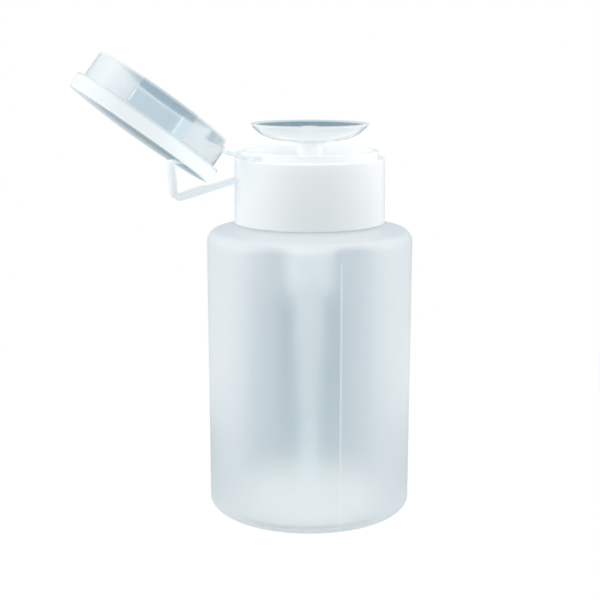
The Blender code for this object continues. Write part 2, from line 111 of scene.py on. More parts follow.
# ------------------------------------------------------------------ outlines
def rounded(points, segments=4, cyclic=False):
    """A profile of (radius, height, fillet) with each corner turned to an arc."""
    out = []
    count = len(points)
    for i, (x, z, fillet) in enumerate(points):
        corner = Vector((x, z))
        if fillet <= 0 or (not cyclic and i in (0, count - 1)):
            out.append((x, z))
            continue
        before = Vector(points[i - 1][:2]) - corner
        after = Vector(points[(i + 1) % count][:2]) - corner
        half = before.angle(after) / 2
        if abs(half - math.pi / 2) < 0.02:      # nearly straight
            out.append((x, z))
            continue
        reach = min(fillet / math.tan(half), before.length * 0.49, after.length * 0.49)
        radius = reach * math.tan(half)
        before.normalize()
        after.normalize()
        centre = corner + (before + after).normalized() * (radius / math.sin(half))
        first = corner + before * reach - centre
        last = corner + after * reach - centre
        turn = first.angle_signed(last)
        for k in range(segments + 1):
            out.append(turned(first, centre, -turn * k / segments))
    return out


def turned(arm, centre, angle):
    """The end of a 2D arm from a centre, turned by an angle."""
    c, s = math.cos(angle), math.sin(angle)
    return (centre.x + arm.x * c - arm.y * s, centre.y + arm.x * s + arm.y * c)


def arc(centre_x, centre_z, radius, start, end, count):
    """Points of an arc between two angles in degrees."""
    angles = [math.radians(start + (end - start) * i / count) for i in range(count + 1)]
    return [(centre_x + radius * math.cos(a), centre_z + radius * math.sin(a))
            for a in angles]


def densify(profile, step):
    """Adds points so that no profile edge is longer than step."""
    out = []
    for a, b in zip(profile, profile[1:]):
        out.append(a)
        parts = int(math.dist(a, b) / step) + 1
        for k in range(1, parts):
            t = k / parts
            out.append((a[0] + (b[0] - a[0]) * t, a[1] + (b[1] - a[1]) * t))
    out.append(profile[-1])
    return out


def helix(radius, base_z, lead, turns, start_deg, per_turn=64):
    start = math.radians(start_deg)
    return [(radius * math.cos(start + 2 * math.pi * i / per_turn),
             radius * math.sin(start + 2 * math.pi * i / per_turn),
             base_z + lead * i / per_turn) for i in range(int(turns * per_turn) + 1)]


# -------------------------------------------------------------------- meshes
def link(obj):
    bpy.context.scene.collection.objects.link(obj)
    return obj


def mesh_object(name, bm, recalc=True):
    """Turns a bmesh into a linked object."""
    if recalc:
        bmesh.ops.recalc_face_normals(bm, faces=bm.faces)
    mesh = bpy.data.meshes.new(name)
    bm.to_mesh(mesh)
    bm.free()
    return link(bpy.data.objects.new(name, mesh))


def lathe(name, profile, segments=96, cyclic=False, wobble=None):
    """A profile turned about Z. wobble(radius, z, angle) adds to the radius."""
    bm = bmesh.new()
    rings = []
    for radius, z in profile:
        if radius < 1e-6:
            rings.append([bm.verts.new((0, 0, z * MM))])
            continue
        ring = []
        for k in range(segments):
            a = 2 * math.pi * k / segments
            r = radius + (wobble(radius, z, a) if wobble else 0.0)
            ring.append(bm.verts.new((r * math.cos(a) * MM, r * math.sin(a) * MM,
                                      z * MM)))
        rings.append(ring)
    count = len(rings)
    for i in range(count if cyclic else count - 1):
        a, b = rings[i], rings[(i + 1) % count]
        for k in range(segments):
            j = (k + 1) % segments
            if len(a) == 1:
                bm.faces.new((a[0], b[k], b[j]))
            elif len(b) == 1:
                bm.faces.new((a[k], b[0], a[j]))
            else:
                bm.faces.new((a[k], b[k], b[j], a[j]))
    return mesh_object(name, bm)


def box(name, low, high):
    bm = bmesh.new()
    bmesh.ops.create_cube(bm, size=1.0)
    bmesh.ops.scale(bm, vec=[(b - a) * MM for a, b in zip(low, high)], verts=bm.verts)
    bmesh.ops.translate(bm, vec=[(a + b) / 2 * MM for a, b in zip(low, high)],
                        verts=bm.verts)
    return mesh_object(name, bm, recalc=False)


def capped_tube(name, sections):
    """Joins closed sections (points in metres) and caps both ends."""
    bm = bmesh.new()
    rings = [[bm.verts.new(point) for point in section] for section in sections]
    sides = len(rings[0])
    for a, b in zip(rings, rings[1:]):
        for k in range(sides):
            j = (k + 1) % sides
            bm.faces.new((a[k], a[j], b[j], b[k]))
    bm.faces.new(list(reversed(rings[0])))
    bm.faces.new(rings[-1])
    return mesh_object(name, bm)


def sweep(name, path, radius, sides=12):
    """A round bar along 3D points. radius is a number or a function (index, count)."""
    sections = []
    count = len(path)
    for i, point in enumerate(path):
        before = Vector(path[max(i - 1, 0)])
        after = Vector(path[min(i + 1, count - 1)])
        tangent = (after - before).normalized()
        guide = Vector((0, 0, 1)) if abs(tangent.z) < 0.9 else Vector((0, 1, 0))
        u = tangent.cross(guide).normalized()
        v = tangent.cross(u).normalized()
        size = radius(i, count) if callable(radius) else radius
        angles = [2 * math.pi * k / sides for k in range(sides)]
        sections.append([(Vector(point) + (u * math.cos(a) + v * math.sin(a)) * size) * MM
                         for a in angles])
    return capped_tube(name, sections)


def strip(name, line, width, left, right, groove=0.0):
    """A flat strap along a line of (x, z), its width along Y.

    left and right give, for each point, how far it reaches to either side of the
    line. The section is a rounded rectangle with a shallow groove in each broad side.
    """
    sections = []
    for i, (x, z) in enumerate(line):
        before = Vector(line[max(i - 1, 0)])
        after = Vector(line[min(i + 1, len(line) - 1)])
        tangent = (after - before).normalized()
        normal_x, normal_z = -tangent.y, tangent.x
        w, high, low = width / 2, left[i], -right[i]
        r = min(0.26, (high - low) * 0.4)
        depth = min(groove, (high - low) * 0.15)
        section = []
        for side_y, edge, side_n, start in ((1, high, 1, 0), (-1, high, 1, 90),
                                            (-1, low, -1, 180), (1, low, -1, 270)):
            for k in range(4):
                angle = math.radians(start + 90 * k / 3)
                section.append((side_y * (w - r) + r * math.cos(angle),
                                edge - side_n * r + r * math.sin(angle)))
            if start in (0, 180):
                floor_n = edge - side_n * depth
                section += [(side_y * w * 0.60, edge), (side_y * w * 0.48, floor_n),
                            (-side_y * w * 0.48, floor_n), (-side_y * w * 0.60, edge)]
        sections.append([((x + normal_x * n) * MM, y * MM, (z + normal_z * n) * MM)
                         for y, n in section])
    return capped_tube(name, sections)


def cut(obj, other, operation="DIFFERENCE"):
    """Applies a Boolean at once and removes the other object."""
    mod = obj.modifiers.new("cut", "BOOLEAN")
    mod.operation = operation
    mod.solver = "EXACT"
    mod.object = other
    bpy.context.view_layer.update()
    graph = bpy.context.evaluated_depsgraph_get()
    mesh = bpy.data.meshes.new_from_object(obj.evaluated_get(graph))
    obj.modifiers.clear()
    obj.data = mesh
    bpy.data.objects.remove(other, do_unlink=True)


def shade(mesh, angle):
    mesh.shade_smooth()
    mesh.set_sharp_from_angle(angle=math.radians(angle))


def smooth(obj, angle=32.0):
    """Cleans a mesh and shades it smooth, sharp above an angle in degrees."""
    bm = bmesh.new()
    bm.from_mesh(obj.data)
    bmesh.ops.remove_doubles(bm, verts=bm.verts, dist=2e-6)
    bmesh.ops.dissolve_degenerate(bm, edges=bm.edges, dist=1e-6)
    bm.to_mesh(obj.data)
    bm.free()
    shade(obj.data, angle)


def paint(obj, material, slot, body=None, *nodes):
    """Gives a piece its material, its moving body and the CAD nodes it replaces."""
    obj.data.materials.clear()
    obj.data.materials.append(material)
    if body:
        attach(obj, body)
    if nodes:
        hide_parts(*nodes)


# --------------------------------------------------------------- node graphs
class Graph:
    """A small node-graph writer. Values may be numbers, tuples, sockets or nodes."""

    def __init__(self, tree, output):
        self.tree = tree
        tree.nodes.clear()
        self.output = self.node(output)
        self.coord = self.node("TexCoord")

    def node(self, kind, inputs=None, **props):
        node = self.tree.nodes.new("ShaderNode" + kind)
        for key, value in props.items():
            setattr(node, key, value)
        for key, value in (inputs or {}).items():
            self.feed(node.inputs[key], value)
        return node

    def feed(self, socket, value):
        if isinstance(value, bpy.types.Node):
            value = value.outputs[0]
        if isinstance(value, bpy.types.NodeSocket):
            self.tree.links.new(value, socket)
        else:
            socket.default_value = (*value, 1) if socket.type == "RGBA" else value

    def calc(self, operation, a, b=0.0):
        return self.node("Math", {0: a, 1: b, 2: 0.0}, operation=operation).outputs[0]

    def add(self, total, *terms):
        for term in terms:
            total = self.calc("ADD", total, term)
        return total

    def mul(self, product, *factors):
        for factor in factors:
            product = self.calc("MULTIPLY", product, factor)
        return product

    def remap(self, value, span, to):
        """Carries a span of values smoothly over to another."""
        return self.node("MapRange", {
            "Value": value, "From Min": span[0], "From Max": span[1],
            "To Min": to[0], "To Max": to[1],
        }, interpolation_type="SMOOTHSTEP").outputs["Result"]

    def rise(self, value, start, end):
        """0 at start, 1 at end."""
        return self.remap(value, (start, end), to=(0.0, 1.0))

    def fall(self, value, start, end):
        """1 at start, 0 at end."""
        return self.remap(value, (start, end), to=(1.0, 0.0))

    def noise(self, scale, detail=3.0, rough=0.5, vector=None, stretch=None):
        source = vector or self.coord.outputs["Object"]
        if stretch:
            source = self.node("Mapping", {"Scale": stretch, "Vector": source})
        return self.node("TexNoise", {"Scale": scale, "Detail": detail,
                                      "Roughness": rough, "Vector": source,
                                      }).outputs["Fac"]

    def xyz(self, vector=None):
        return self.node("SeparateXYZ", {0: vector or self.coord.outputs["Object"]}).outputs

    def axis_distance(self, pos):
        """Distance from the Z axis."""
        return self.calc("SQRT", self.add(self.mul(pos[0], pos[0]),
                                          self.mul(pos[1], pos[1])))

    def mix_colour(self, factor, a, b):
        return self.node("Mix", {0: factor, 6: a, 7: b}, data_type="RGBA").outputs[2]

    def bump(self, height, strength, distance, normal=None):
        node = self.node("Bump", {"Strength": strength, "Distance": distance,
                                  "Height": height})
        if normal is not None:
            self.feed(node.inputs["Normal"], normal)
        return node.outputs["Normal"]

    def facing(self):
        return self.node("LayerWeight", {"Blend": 0.5}).outputs["Facing"]

    def fresnel(self, ior):
        return self.node("Fresnel", {"IOR": ior}).outputs[0]

    def damp_back(self, value, back, share):
        """Lowers a value by a share on back faces."""
        return self.mul(value, self.calc("SUBTRACT", 1.0, self.mul(back, share)))

    def mix(self, factor, a, b):
        return self.node("MixShader", {0: factor, 1: a, 2: b}).outputs[0]

    def add_shader(self, a, b):
        return self.node("AddShader", {0: a, 1: b}).outputs[0]

    def glow(self, colour, strength):
        return self.node("Emission", {"Color": colour, "Strength": strength}).outputs[0]

    def glossy(self, rough, normal):
        return self.node("BsdfGlossy", {"Roughness": rough, "Normal": normal})

    def clear(self, tint, rough, ior, normal):
        """A fully transmitting plastic."""
        return self.node("BsdfPrincipled", {
            "Base Color": tint, "Roughness": rough, "Transmission Weight": 1.0,
            "IOR": ior, "Normal": normal})

    def scatter(self, colour, normal, share):
        """Diffuse on the near side and, by a share, translucent to the far side."""
        inputs = {"Color": colour, "Normal": normal}
        return self.mix(share, self.node("BsdfDiffuse", inputs),
                        self.node("BsdfTranslucent", inputs))

    def see_through(self, shader, tint):
        """Lets light for other surfaces pass a clear wall without caustics."""
        path = self.node("LightPath")
        either = self.calc("MAXIMUM", path.outputs["Is Shadow Ray"],
                           path.outputs["Is Diffuse Ray"])
        return self.mix(either, shader, self.node("BsdfTransparent", {"Color": tint}))

    def done(self, shader):
        self.feed(self.output.inputs["Surface"], shader)


class Material(Graph):
    def __init__(self, name):
        self.material = bpy.data.materials.new(name)
        self.material.use_nodes = True
        super().__init__(self.material.node_tree, "OutputMaterial")

    def done(self, shader):
        super().done(shader)
        return self.material


# ----------------------------------------------------------------- materials
# In these, "milk" is the share of white scatter over the clear plastic.
def frosted_body():
    m = Material("frosted_body")
    pos = m.xyz()
    grain = m.noise(2600.0, detail=2.0, rough=0.6)
    flow = m.noise(60.0, stretch=(1.0, 1.0, 0.06))
    cloud = m.noise(26.0, detail=1.0, rough=0.4)
    bump = m.bump(grain, strength=0.06, distance=0.00003)
    bump = m.bump(flow, strength=0.05, distance=0.0002, normal=bump)
    tint = m.mix_colour(m.rise(cloud, 0.3, 0.75), (0.93, 0.965, 0.98),
                        (0.965, 0.98, 0.985))
    clear = m.clear(tint, rough=m.remap(cloud, (0.3, 0.7), to=(0.48, 0.53)), ior=1.22,
                    normal=bump)
    white = m.scatter((0.93, 0.955, 0.96), bump, share=0.60)
    back = m.node("NewGeometry").outputs["Backfacing"]
    # zones: the foot, the disc of the base, the neck, the parting seam, grazing walls. The
    # neck is whitened as painted light from the collar and from above, and the seam as a
    # painted highlight line.
    foot = m.fall(pos[2], 0.001, 0.009)
    disc = m.mul(m.fall(pos[2], 0.0016, 0.0022),
                 m.fall(m.axis_distance(pos), 0.0235, 0.0260))
    neck = m.rise(pos[2], 0.0755, 0.0775)
    seam = m.mul(m.fall(m.calc("ABSOLUTE", pos[0]), 0.00014, 0.00030),
                 m.fall(pos[2], 0.070, 0.074))
    edge_on = m.rise(m.facing(), 0.12, 0.42)
    # grazing walls are milkier (longer path through the wall), and less so towards the
    # bottom, a painted fade of the side lights' bright bands
    high = m.remap(pos[2], (0.015, 0.045), to=(0.85, 1.0))
    milk = m.add(0.13, m.mul(foot, 0.27), m.mul(edge_on, high, 0.66),
                 m.mul(neck, 0.52), m.mul(disc, 0.68), m.mul(seam, 0.55),
                 m.mul(m.remap(cloud, (0.3, 0.7), to=(-1.0, 1.0)), 0.012))
    milk = m.damp_back(m.calc("MINIMUM", milk, 0.95), back, share=0.92)
    gloss = m.glossy(m.remap(cloud, (0.3, 0.7), to=(0.30, 0.36)), bump)
    sheen = m.add(0.14, m.mul(m.fresnel(1.4), 0.35))
    # a faint painted glow on the outer faces of the seam and neck
    painted_glow = m.glow((1.0, 0.99, 0.96), m.mul(
        m.calc("SUBTRACT", 1.0, back), m.add(m.mul(seam, 0.07), m.mul(neck, 0.06))))
    body = m.mix(sheen, m.mix(milk, clear, white), gloss)
    return m.done(m.see_through(m.add_shader(body, painted_glow), (0.965, 0.972, 0.976)))


def white_shell(name, colour, shade_colour, rough=0.33, grain=0.08, subsurface=0.12,
                glow=0.0):
    """An opaque plastic; glow is a painted glow, reaching full strength in its upper part.
    """
    m = Material(name)
    broad = m.mul(m.rise(m.noise(38.0, rough=0.55), 0.35, 0.7), 0.10)
    specks = m.mul(m.rise(m.noise(900.0, detail=2.0), 0.62, 0.75), 0.05)
    tone = m.mix_colour(m.add(broad, specks), colour, shade_colour)
    micro = m.noise(1500.0, rough=0.55)
    swirl = m.noise(70.0, detail=4.0, rough=0.55)
    normal = m.bump(micro, strength=grain, distance=0.00003)
    normal = m.bump(swirl, strength=0.012, distance=0.0003, normal=normal)
    node = m.node("BsdfPrincipled", {
        "Base Color": tone,
        "Roughness": m.remap(swirl, (0.3, 0.7), to=(rough - 0.03, rough + 0.05)),
        "Subsurface Weight": subsurface, "Subsurface Scale": 0.0025,
        "Subsurface Radius": (1.0, 1.05, 1.1), "Specular IOR Level": 0.5,
        "Coat Weight": 0.12, "Coat Roughness": 0.18, "Normal": normal,
        "Emission Color": (1.0, 0.98, 0.93)})
    if glow:
        m.feed(node.inputs["Emission Strength"],
               m.remap(m.xyz()[2], (0.054, 0.074), to=(glow * 0.45, glow)))
    return m.done(node)


def lid_plastic():
    m = Material("natural_lid")
    # coordinates turned back to where the lid is when shut
    shut = m.node("VectorRotate", {
        "Center": (HINGE_X * MM, 0, HINGE_Z * MM), "Angle": math.radians(OPEN),
        "Vector": m.coord.outputs["Object"]}, rotation_type="Y_AXIS").outputs[0]
    x, y, z = m.xyz(shut)
    radius = m.axis_distance((x, y))
    flow = m.noise(120.0, detail=4.0, rough=0.6, vector=shut)
    micro = m.noise(1700.0, detail=2.0, vector=shut)
    normal = m.bump(micro, strength=0.06, distance=0.00003)
    normal = m.bump(flow, strength=0.18, distance=0.0002, normal=normal)
    # zones by height, by radius, and towards the hinge (heel) or away from it (far)
    skirt = m.fall(z, (STEP - 0.3) * MM, (STEP + 0.2) * MM)
    flange = m.mul(m.rise(z, (STEP - 0.1) * MM, (STEP + 1.2) * MM),
                   m.rise(radius, 0.0209, 0.0213))
    plate = m.mul(m.rise(z, (TOP - 0.45) * MM, (TOP - 0.2) * MM), 1.0)
    heel = m.fall(x, -0.0175, -0.0110)
    far = m.rise(x, 0.0110, 0.0175)
    # the mouth rim is whitened below as a painted highlight
    lip = m.fall(z, (MOUTH + 0.5) * MM, (MOUTH + 0.8) * MM)
    # the window panels of the skirt, and one upright edge of each, painted with a highlight
    # line
    spin = m.node("VectorRotate", {"Angle": math.radians(-PANEL_TURN), "Vector": shut},
                  rotation_type="Z_AXIS")
    side = m.calc("ABSOLUTE", m.xyz(spin.outputs[0])[0])
    spun = m.xyz(spin.outputs[0])
    one = m.fall(m.mul(spun[0], spun[1]), -0.00001, 0.0)
    edge = m.mul(m.rise(side, 0.00760, 0.00780), m.fall(side, 0.00800, 0.00820))
    part = m.mul(m.rise(z, (MOUTH + 3.4) * MM, (MOUTH + 4.0) * MM),
                 m.fall(z, (STEP - 1.0) * MM, (STEP - 0.6) * MM))
    part = m.calc("MAXIMUM", part, m.rise(y, -0.001, 0.001))
    edge = m.mul(edge, one, part)
    panel = m.mul(m.fall(side, 0.0077, 0.0080), skirt)
    # thick zones are milky, and the panels and the heel clearer; the mouth rim and the
    # panel edges get painted highlights
    milk = m.add(0.34, m.mul(flange, 0.58))
    milk = m.calc("SUBTRACT", milk, m.mul(heel, 0.07))
    milk = m.add(milk, m.mul(far, 0.27), m.mul(lip, 0.36))
    milk = m.calc("SUBTRACT", milk, m.mul(panel, 0.14))
    milk = m.add(milk, m.mul(edge, skirt, 0.5))
    milk = m.calc("MINIMUM", m.calc("MAXIMUM", milk, 0.05), 0.96)
    geometry = m.node("NewGeometry")
    within = m.mul(m.fall(radius, 0.01915, 0.0193), skirt)
    inner = m.mul(within, m.calc("SUBTRACT", 0.58, m.mul(panel, 0.18)))
    # painted shade on the top plate, darkest on its -Y side and lighter towards +Y
    painted_plate_shade = m.mul(plate, m.remap(y, (-0.016, 0.012), to=(0.04, 0.42)))
    milk = m.calc("MINIMUM", m.add(milk, inner, painted_plate_shade), 0.96)
    milk = m.damp_back(milk, geometry.outputs["Backfacing"], share=0.88)
    tint = m.mix_colour(m.rise(flow, 0.3, 0.7), (0.90, 0.95, 0.97), (0.93, 0.96, 0.975))
    tint = m.mix_colour(m.mul(panel, 0.80), tint, (0.80, 0.93, 1.0))
    clear = m.clear(tint, rough=m.remap(flow, (0.3, 0.7), to=(0.08, 0.13)), ior=1.30,
                    normal=normal)
    white = m.scatter((0.975, 0.98, 0.98), normal, share=0.45)
    sheen = m.mul(m.fresnel(1.48), m.add(0.35, m.mul(plate, 0.65)))
    body = m.mix(sheen, m.mix(milk, clear, white), m.glossy(0.10, normal))
    # painted glow on the flange, the panel edges and the plate's downward faces
    down = m.fall(m.xyz(geometry.outputs["True Normal"])[2], -0.7, -0.2)
    painted_flange_glow = m.mul(flange, m.remap(x, (-0.012, 0.012), to=(0.18, 0.07)))
    painted_edge_glow = m.mul(edge, skirt, m.remap(y, (-0.001, 0.001), to=(0.08, 0.34)))
    painted_plate_glow = m.mul(plate, down, m.remap(y, (-0.019, 0.006), to=(0.03, 0.42)))
    painted_glow = m.glow((0.97, 1.0, 1.0), m.add(painted_flange_glow, m.add(painted_edge_glow, painted_plate_glow)))
    return m.done(m.see_through(m.add_shader(body, painted_glow), (0.95, 0.965, 0.97)))


def dish_plastic():
    m = Material("clear_dish")
    pos = m.xyz()
    flow = m.noise(150.0, rough=0.55)
    normal = m.bump(flow, strength=0.10, distance=0.0002)
    geometry = m.node("NewGeometry")
    # zones: the lip, whitened as a painted highlight line, the hub, and downward faces seen
    # face on
    lip = m.rise(pos[2], 0.10555, 0.10585)
    hub = m.fall(m.axis_distance(pos), 0.0036, 0.0046)
    under = m.fall(m.xyz(geometry.outputs["True Normal"])[2], -0.05, 0.05)
    face_on = m.remap(m.facing(), (0.62, 0.92), to=(1.0, 0.30))
    milk = m.add(0.03, m.mul(under, face_on, 0.80), m.mul(lip, 0.6), m.mul(hub, 0.6))
    milk = m.damp_back(m.calc("MINIMUM", milk, 0.95), geometry.outputs["Backfacing"],
                       share=0.85)
    tint = m.mix_colour(m.rise(flow, 0.3, 0.7), (0.70, 0.80, 0.86), (0.74, 0.83, 0.88))
    clear = m.clear(tint, rough=0.05, ior=1.40, normal=normal)
    white = m.scatter((0.97, 0.97, 0.955), normal, share=0.5)
    return m.done(m.see_through(m.mix(milk, clear, white), (0.93, 0.95, 0.96)))


def strap_plastic():
    m = Material("strap_plastic")
    flow = m.noise(300.0, rough=0.55)
    micro = m.noise(2500.0, detail=2.0)
    normal = m.bump(micro, strength=0.08, distance=0.00002)
    normal = m.bump(flow, strength=0.2, distance=0.0001, normal=normal)
    tone = m.mix_colour(m.rise(flow, 0.3, 0.7), (0.93, 0.955, 0.965),
                        (0.965, 0.975, 0.98))
    clear = m.clear(tone, rough=0.16, ior=1.35, normal=normal)
    milk = 0.93
    body = m.mix(milk, clear, m.scatter(tone, normal, share=0.5))
    body = m.mix(m.mul(m.fresnel(1.45), 0.5), body, m.glossy(0.14, normal))
    # a painted glow over the whole strap
    painted_glow = m.glow((1.0, 0.98, 0.95), strength=0.10)
    return m.done(m.see_through(m.add_shader(body, painted_glow), (0.85, 0.88, 0.90)))


def steel_wire():
    m = Material("spring_steel")
    drawn = m.noise(900.0, detail=4.0, rough=0.6, stretch=(1, 1, 6))
    tone = m.mix_colour(m.rise(drawn, 0.3, 0.7), (0.50, 0.51, 0.53), (0.70, 0.71, 0.72))
    return m.done(m.node("BsdfPrincipled", {
        "Base Color": tone, "Roughness": m.remap(drawn, (0.3, 0.7), to=(0.29, 0.38)),
        "Metallic": 1.0, "Normal": m.bump(drawn, strength=0.15, distance=0.00002)}))


def valve_glass():
    m = Material("valve_glass")
    cloud = m.noise(700.0, detail=2.0)
    return m.done(m.node("BsdfPrincipled", {
        "Base Color": m.mix_colour(cloud, (0.85, 0.93, 0.95), (0.93, 0.97, 0.98)),
        "Roughness": m.remap(cloud, (0.3, 0.7), to=(0.02, 0.06)),
        "Transmission Weight": 0.95, "IOR": 1.5}))


def tube_plastic():
    m = Material("tube")
    flow = m.noise(300.0, stretch=(1, 1, 0.1))
    tone = m.mix_colour(m.rise(flow, 0.3, 0.7), (0.86, 0.91, 0.93), (0.93, 0.96, 0.97))
    normal = m.bump(flow, strength=0.15, distance=0.0001)
    clear = m.clear(tone, rough=0.25, ior=1.4, normal=normal)
    white = m.scatter((0.95, 0.97, 0.97), normal, share=0.5)
    milk = 0.85
    # a painted glow over the whole tube
    painted_glow = m.glow((0.96, 1.0, 0.98), strength=0.07)
    return m.done(m.add_shader(m.mix(milk, clear, white), painted_glow))


BODY_FROST = frosted_body()
COLLAR_WHITE = white_shell("white_collar", (0.955, 0.965, 0.96), (0.92, 0.935, 0.93),
                           subsurface=0.3)
STEM_WHITE = white_shell("stem_white", (0.955, 0.965, 0.96), (0.92, 0.935, 0.93),
                         rough=0.34)
# the pump housing has a painted glow
PUMP_WHITE = white_shell("pump_white", (0.975, 0.98, 0.98), (0.94, 0.95, 0.955),
                         rough=0.40, grain=0.2, subsurface=0.2, glow=0.25)
SEAL_GREY = white_shell("seal", (0.84, 0.84, 0.81), (0.76, 0.76, 0.73),
                        rough=0.6, grain=0.35, subsurface=0.1)
LID_PLASTIC = lid_plastic()
DISH_PLASTIC = dish_plastic()
STRAP_PLASTIC = strap_plastic()
STEEL = steel_wire()
GLASS = valve_glass()
TUBE_PLASTIC = tube_plastic()

# -------------------------------------------------------------------- bottle
BODY_R, BODY_WALL = 28.0, 1.0
BORE_R = BODY_R - BODY_WALL
SHOULDER_R, SHOULDER_Z = 3.4, 74.5       # fillet of the shoulder, height of its centre
SHOULDER_SLOPE = math.tan(math.radians(15.0))
NECK_R, NECK_BORE, NECK_TOP = 15.7, 13.75, 92.0
NECK_ROOT_R = 17.2
BASE_R, BASE_INNER_R = 2.2, 1.7          # fillets of the base corner
WALL_HEIGHTS = [68.0, 60.0, 50.0, 40.0, 30.0, 20.0, 10.0]
THREAD_LEAD, THREAD_TURNS, THREAD_START = 3.6, 1.5, 20.0     # the last in degrees


def bottle_profile():
    """From the middle of the inner floor up to the lip and down the outside."""
    shoulder_x = BODY_R - SHOULDER_R
    outer_arc = arc(shoulder_x, SHOULDER_Z, SHOULDER_R, 75.0, 0.0, 10)
    top_r, top_z = outer_arc[0]
    root_z = top_z + (top_r - NECK_ROOT_R) * SHOULDER_SLOPE
    outer = rounded([(14.0, NECK_TOP, 0), (NECK_R, NECK_TOP, 0.35), (NECK_R, 80.3, 0.7),
                     (NECK_ROOT_R, root_z, 0.0)])
    outer += outer_arc
    outer += [(BODY_R, z) for z in WALL_HEIGHTS]
    outer += arc(BODY_R - BASE_R, BASE_R, BASE_R, 0.0, -90.0, 8)
    outer += [(22.6, 0.0), (16.0, 0.0), (8.0, 0.0), (0.0, 0.0)]

    inner_arc = arc(shoulder_x, SHOULDER_Z, SHOULDER_R - BODY_WALL, 0.0, 75.0, 8)
    top_r, top_z = inner_arc[-1]
    inner = [(0.0, 1.75), (6.0, 1.72), (12.0, 1.6), (17.0, 1.45), (20.8, 1.35),
             (23.0, 1.32), (24.2, 1.34)]
    inner += arc(BORE_R - BASE_INNER_R, 3.0, BASE_INNER_R, -70.0, 0.0, 6)
    inner += [(BORE_R, z) for z in reversed(WALL_HEIGHTS)]
    inner += inner_arc
    inner += rounded([(top_r - 0.5, top_z + 0.5 * SHOULDER_SLOPE, 0),
                      (15.4, top_z + (top_r - 15.4) * SHOULDER_SLOPE, 1.0),
                      (NECK_BORE, 80.6, 1.0), (NECK_BORE, 91.6, 0.0),
                      (14.0, NECK_TOP, 0.0)])[:-1]
    return inner + outer


def bottle_wobble(r, z, a):
    """Mould parting lines at +-Y, and the slight unevenness of a blown wall."""
    if r < 26.9:
        return 0.0
    from_y = math.degrees(abs(math.atan2(math.cos(a), abs(math.sin(a)))))
    on_wall = 3.0 < z < 76.0 and r > 27.2
    line = 0.045 * math.exp(-(from_y / 0.9) ** 2) if on_wall else 0.0
    soft = 0.03 * math.sin(3 * a + z * 0.05) * math.sin(z * 0.041 + 1.0)
    return line + (soft if r < 27.2 else soft * 0.4) - 0.06


def thread_ridge(name, radius, base_z):
    """A helical ridge that tapers at both ends."""
    return sweep(name, helix(radius, base_z, THREAD_LEAD, THREAD_TURNS, THREAD_START),
                 lambda i, n: 0.95 * min(1.0, 0.3 + 0.7 * min(i, n - 1 - i) / 9.0))


bottle = lathe("bottle_body", bottle_profile(), 200, wobble=bottle_wobble)
cut(bottle, thread_ridge("neck_thread", 15.8, 83.6), "UNION")
smooth(bottle, 30)
paint(bottle, BODY_FROST, "frosted_body", "bottle", "bottle")

# pinch mark of the blow mould: along the base, then round its corner, on both sides
for tag, sign in (("front", -1), ("back", 1)):
    seam = []
    for i in range(17):
        t = i / 16
        bend = math.radians(-90 + 90 * max(0.0, t * 2 - 1))
        y = 25.75 + 2.05 * math.cos(bend) if t > 0.5 else 22.8 + 5.9 * t
        z = 2.25 + 2.1 * math.sin(bend)
        seam.append((0.0, sign * y, max(z, 0.12)))
    mark = sweep("pinch_mark_" + tag, seam, radius=0.11, sides=8)
    smooth(mark, 60)
    paint(mark, COLLAR_WHITE, "frosted_body", "bottle")

# -------------------------------------------------------------------- collar
# closed outline of (radius, height, fillet), as for all lathe tables below
COLLAR = [
    (18.5, 99.0, 0.22), (18.5, 97.0, 0.18), (20.2, 97.0, 0.35),
    (20.4, 79.6, 0.30), (19.3, 79.6, 0.25), (19.1, 80.4, 0.2), (19.0, 95.7, 0.2),
    (18.5, 95.7, 0.15), (18.45, 80.7, 0.2), (17.4, 80.7, 0.2), (17.3, 92.2, 0.1),
    (16.3, 92.4, 0.1), (16.3, 92.7, 0.1), (17.3, 93.0, 0.1), (17.3, 94.4, 0.2),
    (7.0, 94.4, 0.15), (7.0, 95.6, 0.2), (17.3, 95.6, 0.7), (17.3, 99.0, 0.22)]
collar = lathe("screw_collar_shell", rounded(COLLAR, cyclic=True), 160, cyclic=True)
# a raised arc of the rim on the hinge side
block = lathe("block", [(20.1, 98.5), (20.1, 96.2), (17.9, 96.2), (17.9, 98.5)], 160,
              cyclic=True)
cut(block, box("zone", (-21.5, -9.4, 95.0), (-14.0, 9.4, 100.0)), "INTERSECT")
cut(collar, block, "UNION")
cut(collar, thread_ridge("bead", 17.35, 81.8), "UNION")
smooth(collar, 30)
paint(collar, COLLAR_WHITE, "white_collar", "collar", "screw_collar")

# ----------------------------------------------------------------------- lid
CROWN_H, CROWN_R = 0.95, 20.6            # rise of the domed top, radius where it ends
ceiling = TOP - LID_WALL
lid_profile = [(r, TOP + CROWN_H * (1 - (r / CROWN_R) ** 2))
               for r in (0.0, 3.5, 7.0, 10.0, 13.0, 16.0, 18.5)]
lid_profile += rounded([
    (19.5, TOP + 0.05, 0), (FLANGE_R, TOP - 0.14, 0.72), (FLANGE_R, STEP, 0.35),
    (LID_R, STEP, 0.22), (LID_R, MOUTH, 0.38), (LID_BORE + 0.05, MOUTH, 0.25),
    (LID_BORE, ceiling, 0.9), (10.0, ceiling + 0.1, 0), (0.0, ceiling + 0.25, 0)], 5)
lid = lathe("flip_lid_shell", densify(lid_profile, 2.4), 160)
# notches on the hinge side, as the low and high corners of boxes
for low, high in (((-24.0, -2.9, 100.9), (-19.45, 2.9, 112.0)),
                  ((-24.0, -2.9, 108.0), (-9.4, 2.9, 112.0)),
                  ((-24.0, -9.8, 95.0), (-14.0, 9.8, MOUTH + 1.65)),
                  ((-24.0, -2.9, 95.5), (-19.45, 2.9, 101.5))):
    cut(lid, box("cutter", low, high))
